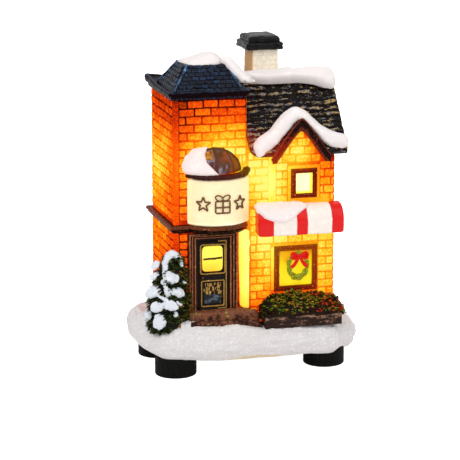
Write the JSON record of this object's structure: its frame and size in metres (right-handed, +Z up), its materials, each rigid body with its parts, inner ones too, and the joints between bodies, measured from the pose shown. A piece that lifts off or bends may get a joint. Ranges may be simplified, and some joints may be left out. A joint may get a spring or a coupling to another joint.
{
  "type": "light-up christmas house",
  "caption": "Small lit resin Christmas shop: brick tower and gabled house on a snowy base, with an LED, button cells, sliding lid and switch.",
  "frame": {"origin": "on the surface it stands on, under the middle of the snowy base", "axes": "+Z up, -Y out of the front with the door, +X to the right seen from the front"},
  "size_m": [0.07, 0.046, 0.0993],
  "materials": {
    "snow": "white painted resin snow with fine glitter",
    "lit_brick": "orange painted translucent resin bricks, lit from inside",
    "lit_plaster": "yellow translucent resin, lit from inside",
    "lit_pane": "clear yellow window pane, lit from inside",
    "dark_wood": "resin painted as dark wood, edges brushed red-brown",
    "slate": "navy-black painted slates brushed with blue",
    "roof_courses": "black painted layered roofing with gold flecks",
    "chimney_cream": "cream painted chimney bricks",
    "chimney_black": "glossy black painted resin",
    "door_paint": "near-black paint brushed with gold on its mouldings",
    "knob_gold": "gold paint",
    "step_stone": "red-brown painted stone with moss",
    "wreath_green": "green painted relief",
    "bow_red": "red gloss paint",
    "awning_paint": "white and red striped gloss paint",
    "planter_brown": "brown-grey painted board",
    "shrub_green": "dark green painted foliage",
    "fir_green": "dark green painted fir",
    "foot_rubber": "matte black",
    "black_plastic": "fine textured moulding",
    "switch_white": "plain moulding",
    "plated_steel": "nickel plated",
    "cell_steel": "bright nickel plated can",
    "board_green": "green solder mask",
    "led_epoxy": "clear epoxy, glowing warm white",
    "resistor_tan": "lacquered",
    "wire_red": "PVC insulation",
    "wire_black": "PVC insulation",
    "wire_white": "PVC insulation"
  },
  "bodies": {
    "house": {"foot_front_left": "foot_rubber", "foot_front_right": "foot_rubber", "foot_back_left": "foot_rubber", "foot_back_right": "foot_rubber", "snow_base": "snow", "tower_lower_walls": "lit_brick", "tower_upper_walls": "lit_brick", "tower_cornice": "dark_wood", "house_walls": "lit_brick", "corner_pilaster": "lit_plaster", "main_roof": "roof_courses", "gable_roof": "roof_courses", "barge_board_left": "dark_wood", "barge_board_right": "dark_wood", "tower_roof": "slate", "chimney_stack": "chimney_cream", "chimney_cap": "chimney_black", "bay_sign": "lit_plaster", "dome_rim": "dark_wood", "bay_dome": "slate", "door_frame": "door_paint", "door_leaf": "door_paint", "door_glass": "lit_pane", "door_knob": "knob_gold", "door_step": "step_stone", "upper_window_frame": "dark_wood", "upper_window_pane": "lit_pane", "lower_window_frame": "dark_wood", "lower_window_pane": "lit_pane", "wreath": "wreath_green", "wreath_bow": "bow_red", "awning": "awning_paint", "planter_box": "planter_brown", "shrubs": "shrub_green", "fir_tree": "fir_green", "fir_tree_snow": "snow", "ridge_snow": "snow", "gable_snow": "snow", "tower_roof_snow": "snow", "dome_snow": "snow", "awning_snow": "snow", "battery_housing": "black_plastic", "button_cell_1": "cell_steel", "button_cell_2": "cell_steel", "button_cell_3": "cell_steel", "spring_contact": "plated_steel", "flat_contact": "plated_steel", "switch_can": "plated_steel", "housing_screw_1": "plated_steel", "housing_screw_2": "plated_steel", "circuit_board": "board_green", "led_lens": "led_epoxy", "led_lead_1": "plated_steel", "led_lead_2": "plated_steel", "resistor": "resistor_tan", "wire_red": "wire_red", "wire_black": "wire_black", "wire_white": "wire_white"},
    "battery_lid": {"battery_lid": "black_plastic"},
    "switch_knob": {"switch_knob": "switch_white"}
  },
  "joints": [
    {"name": "battery_lid_slide", "type": "slide", "parent": "house", "child": "battery_lid", "axis": [0, 1, 0], "range_m": [0, 0.024]},
    {"name": "switch_slide", "type": "slide", "parent": "house", "child": "switch_knob", "axis": [0, -1, 0], "range_m": [0, 0.002]}
  ]
}
